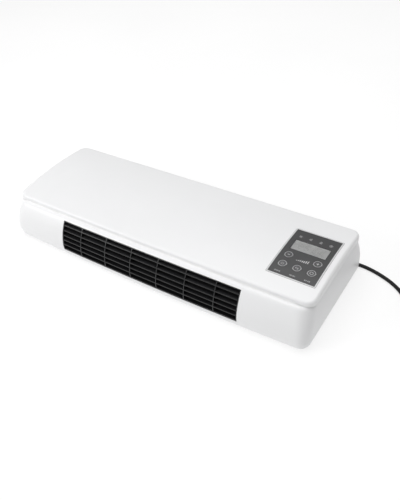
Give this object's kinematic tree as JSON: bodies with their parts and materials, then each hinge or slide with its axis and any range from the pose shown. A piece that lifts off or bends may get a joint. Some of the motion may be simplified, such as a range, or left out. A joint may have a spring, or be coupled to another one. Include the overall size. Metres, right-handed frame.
{
  "type": "fan convector heater",
  "caption": "Wall-hung electric fan convector heater with a crowned cover, black outlet grille, keypad with display, PTC element and mains cord; shown lying on its back.",
  "frame": {"origin": "bottom centre of the heater lying on its back, without its cord", "axes": "+X along the length towards the keypad end, +Y towards the air inlet (up when it hangs on a wall), +Z away from the wall"},
  "size_m": [0.6409, 0.2094, 0.0711],
  "materials": {
    "white_shell": "satin",
    "back_shell": "matte",
    "black_grille": "satin",
    "filter_mesh": "matte",
    "bezel_grey": "satin",
    "panel_dark": "satin",
    "display_lens": "gloss",
    "lcd_body": "matte",
    "light_pipe": "gloss",
    "board_green": "satin",
    "black_part": "matte",
    "zinc_steel": "satin",
    "lamination_steel": "matte",
    "copper": "satin",
    "grey_plastic": "matte",
    "heater_frame": "matte",
    "fin_aluminium": "satin",
    "contact_brass": "satin",
    "soft_rubber": "matte",
    "ivory_plastic": "satin",
    "wire_jacket": "satin",
    "cord_black": "matte"
  },
  "bodies": {
    "heater": {"air_duct": "grey_plastic", "bearing_mount": "soft_rubber", "board_screws": "zinc_steel", "buzzer": "black_part", "cable_headers": "ivory_plastic", "control_bezel": "bezel_grey", "control_overlay": "panel_dark", "control_pcb": "board_green", "control_pcb_screws": "zinc_steel", "cord_clamp": "grey_plastic", "cord_coil": "cord_black", "cord_plug_end": "cord_black", "cord_sheath_end": "cord_black", "display_window": "display_lens", "duct_screws": "zinc_steel", "electrolytic_capacitor": "black_part", "fan_bearing": "contact_brass", "film_capacitor": "ivory_plastic", "front_cover": "white_shell", "housing_screws": "zinc_steel", "indicator_lights": "light_pipe", "internal_wires": "wire_jacket", "ir_receiver": "black_part", "lcd_module": "lcd_body", "main_housing": "white_shell", "motor_case": "zinc_steel", "motor_cradle": "grey_plastic", "motor_screws": "zinc_steel", "motor_stator": "lamination_steel", "motor_strap": "zinc_steel", "motor_windings": "copper", "outlet_grille": "black_grille", "plug_body": "black_part", "plug_pins": "contact_brass", "power_cord": "cord_black", "power_pcb": "board_green", "ptc_bars": "fin_aluminium", "ptc_fins": "fin_aluminium", "ptc_frame": "heater_frame", "ptc_terminals": "contact_brass", "rear_panel": "back_shell", "relays": "black_part", "ribbon_cable": "wire_jacket", "strain_relief": "black_part", "tact_switches": "black_part", "terminal_block": "ivory_plastic", "terminal_screws": "zinc_steel", "thermal_fuse": "ivory_plastic", "thermostat": "fin_aluminium", "wall_pads": "soft_rubber"},
    "fan_rotor": {"fan_wheel": "grey_plastic", "fan_shaft": "zinc_steel", "motor_rotor": "lamination_steel"},
    "filter_cassette": {"inlet_grille": "white_shell", "dust_filter": "filter_mesh"},
    "key_minus": {"button_minus": "panel_dark"},
    "key_mode": {"button_mode": "panel_dark"},
    "key_plus": {"button_plus": "panel_dark"},
    "key_power": {"button_power": "panel_dark"},
    "key_timer": {"button_timer": "panel_dark"}
  },
  "joints": [
    {"name": "fan_spin", "type": "hinge", "parent": "heater", "child": "fan_rotor", "pos_m": [0, 0.028, 0.033], "axis": [1, 0, 0], "continuous": true},
    {"name": "filter_slide", "type": "slide", "parent": "heater", "child": "filter_cassette", "axis": [0, 1, 0], "range_m": [0, 0.016]},
    {"name": "minus_press", "type": "slide", "parent": "heater", "child": "key_minus", "axis": [0, 0, -1], "range_m": [0, 0.0004], "stiffness_N_per_m": 2000, "springref_m": -0.0001},
    {"name": "mode_press", "type": "slide", "parent": "heater", "child": "key_mode", "axis": [0, 0, -1], "range_m": [0, 0.0004], "stiffness_N_per_m": 2000, "springref_m": -0.0001},
    {"name": "plus_press", "type": "slide", "parent": "heater", "child": "key_plus", "axis": [0, 0, -1], "range_m": [0, 0.0004], "stiffness_N_per_m": 2000, "springref_m": -0.0001},
    {"name": "power_press", "type": "slide", "parent": "heater", "child": "key_power", "axis": [0, 0, -1], "range_m": [0, 0.0004], "stiffness_N_per_m": 2000, "springref_m": -0.0001},
    {"name": "timer_press", "type": "slide", "parent": "heater", "child": "key_timer", "axis": [0, 0, -1], "range_m": [0, 0.0004], "stiffness_N_per_m": 2000, "springref_m": -0.0001}
  ]
}
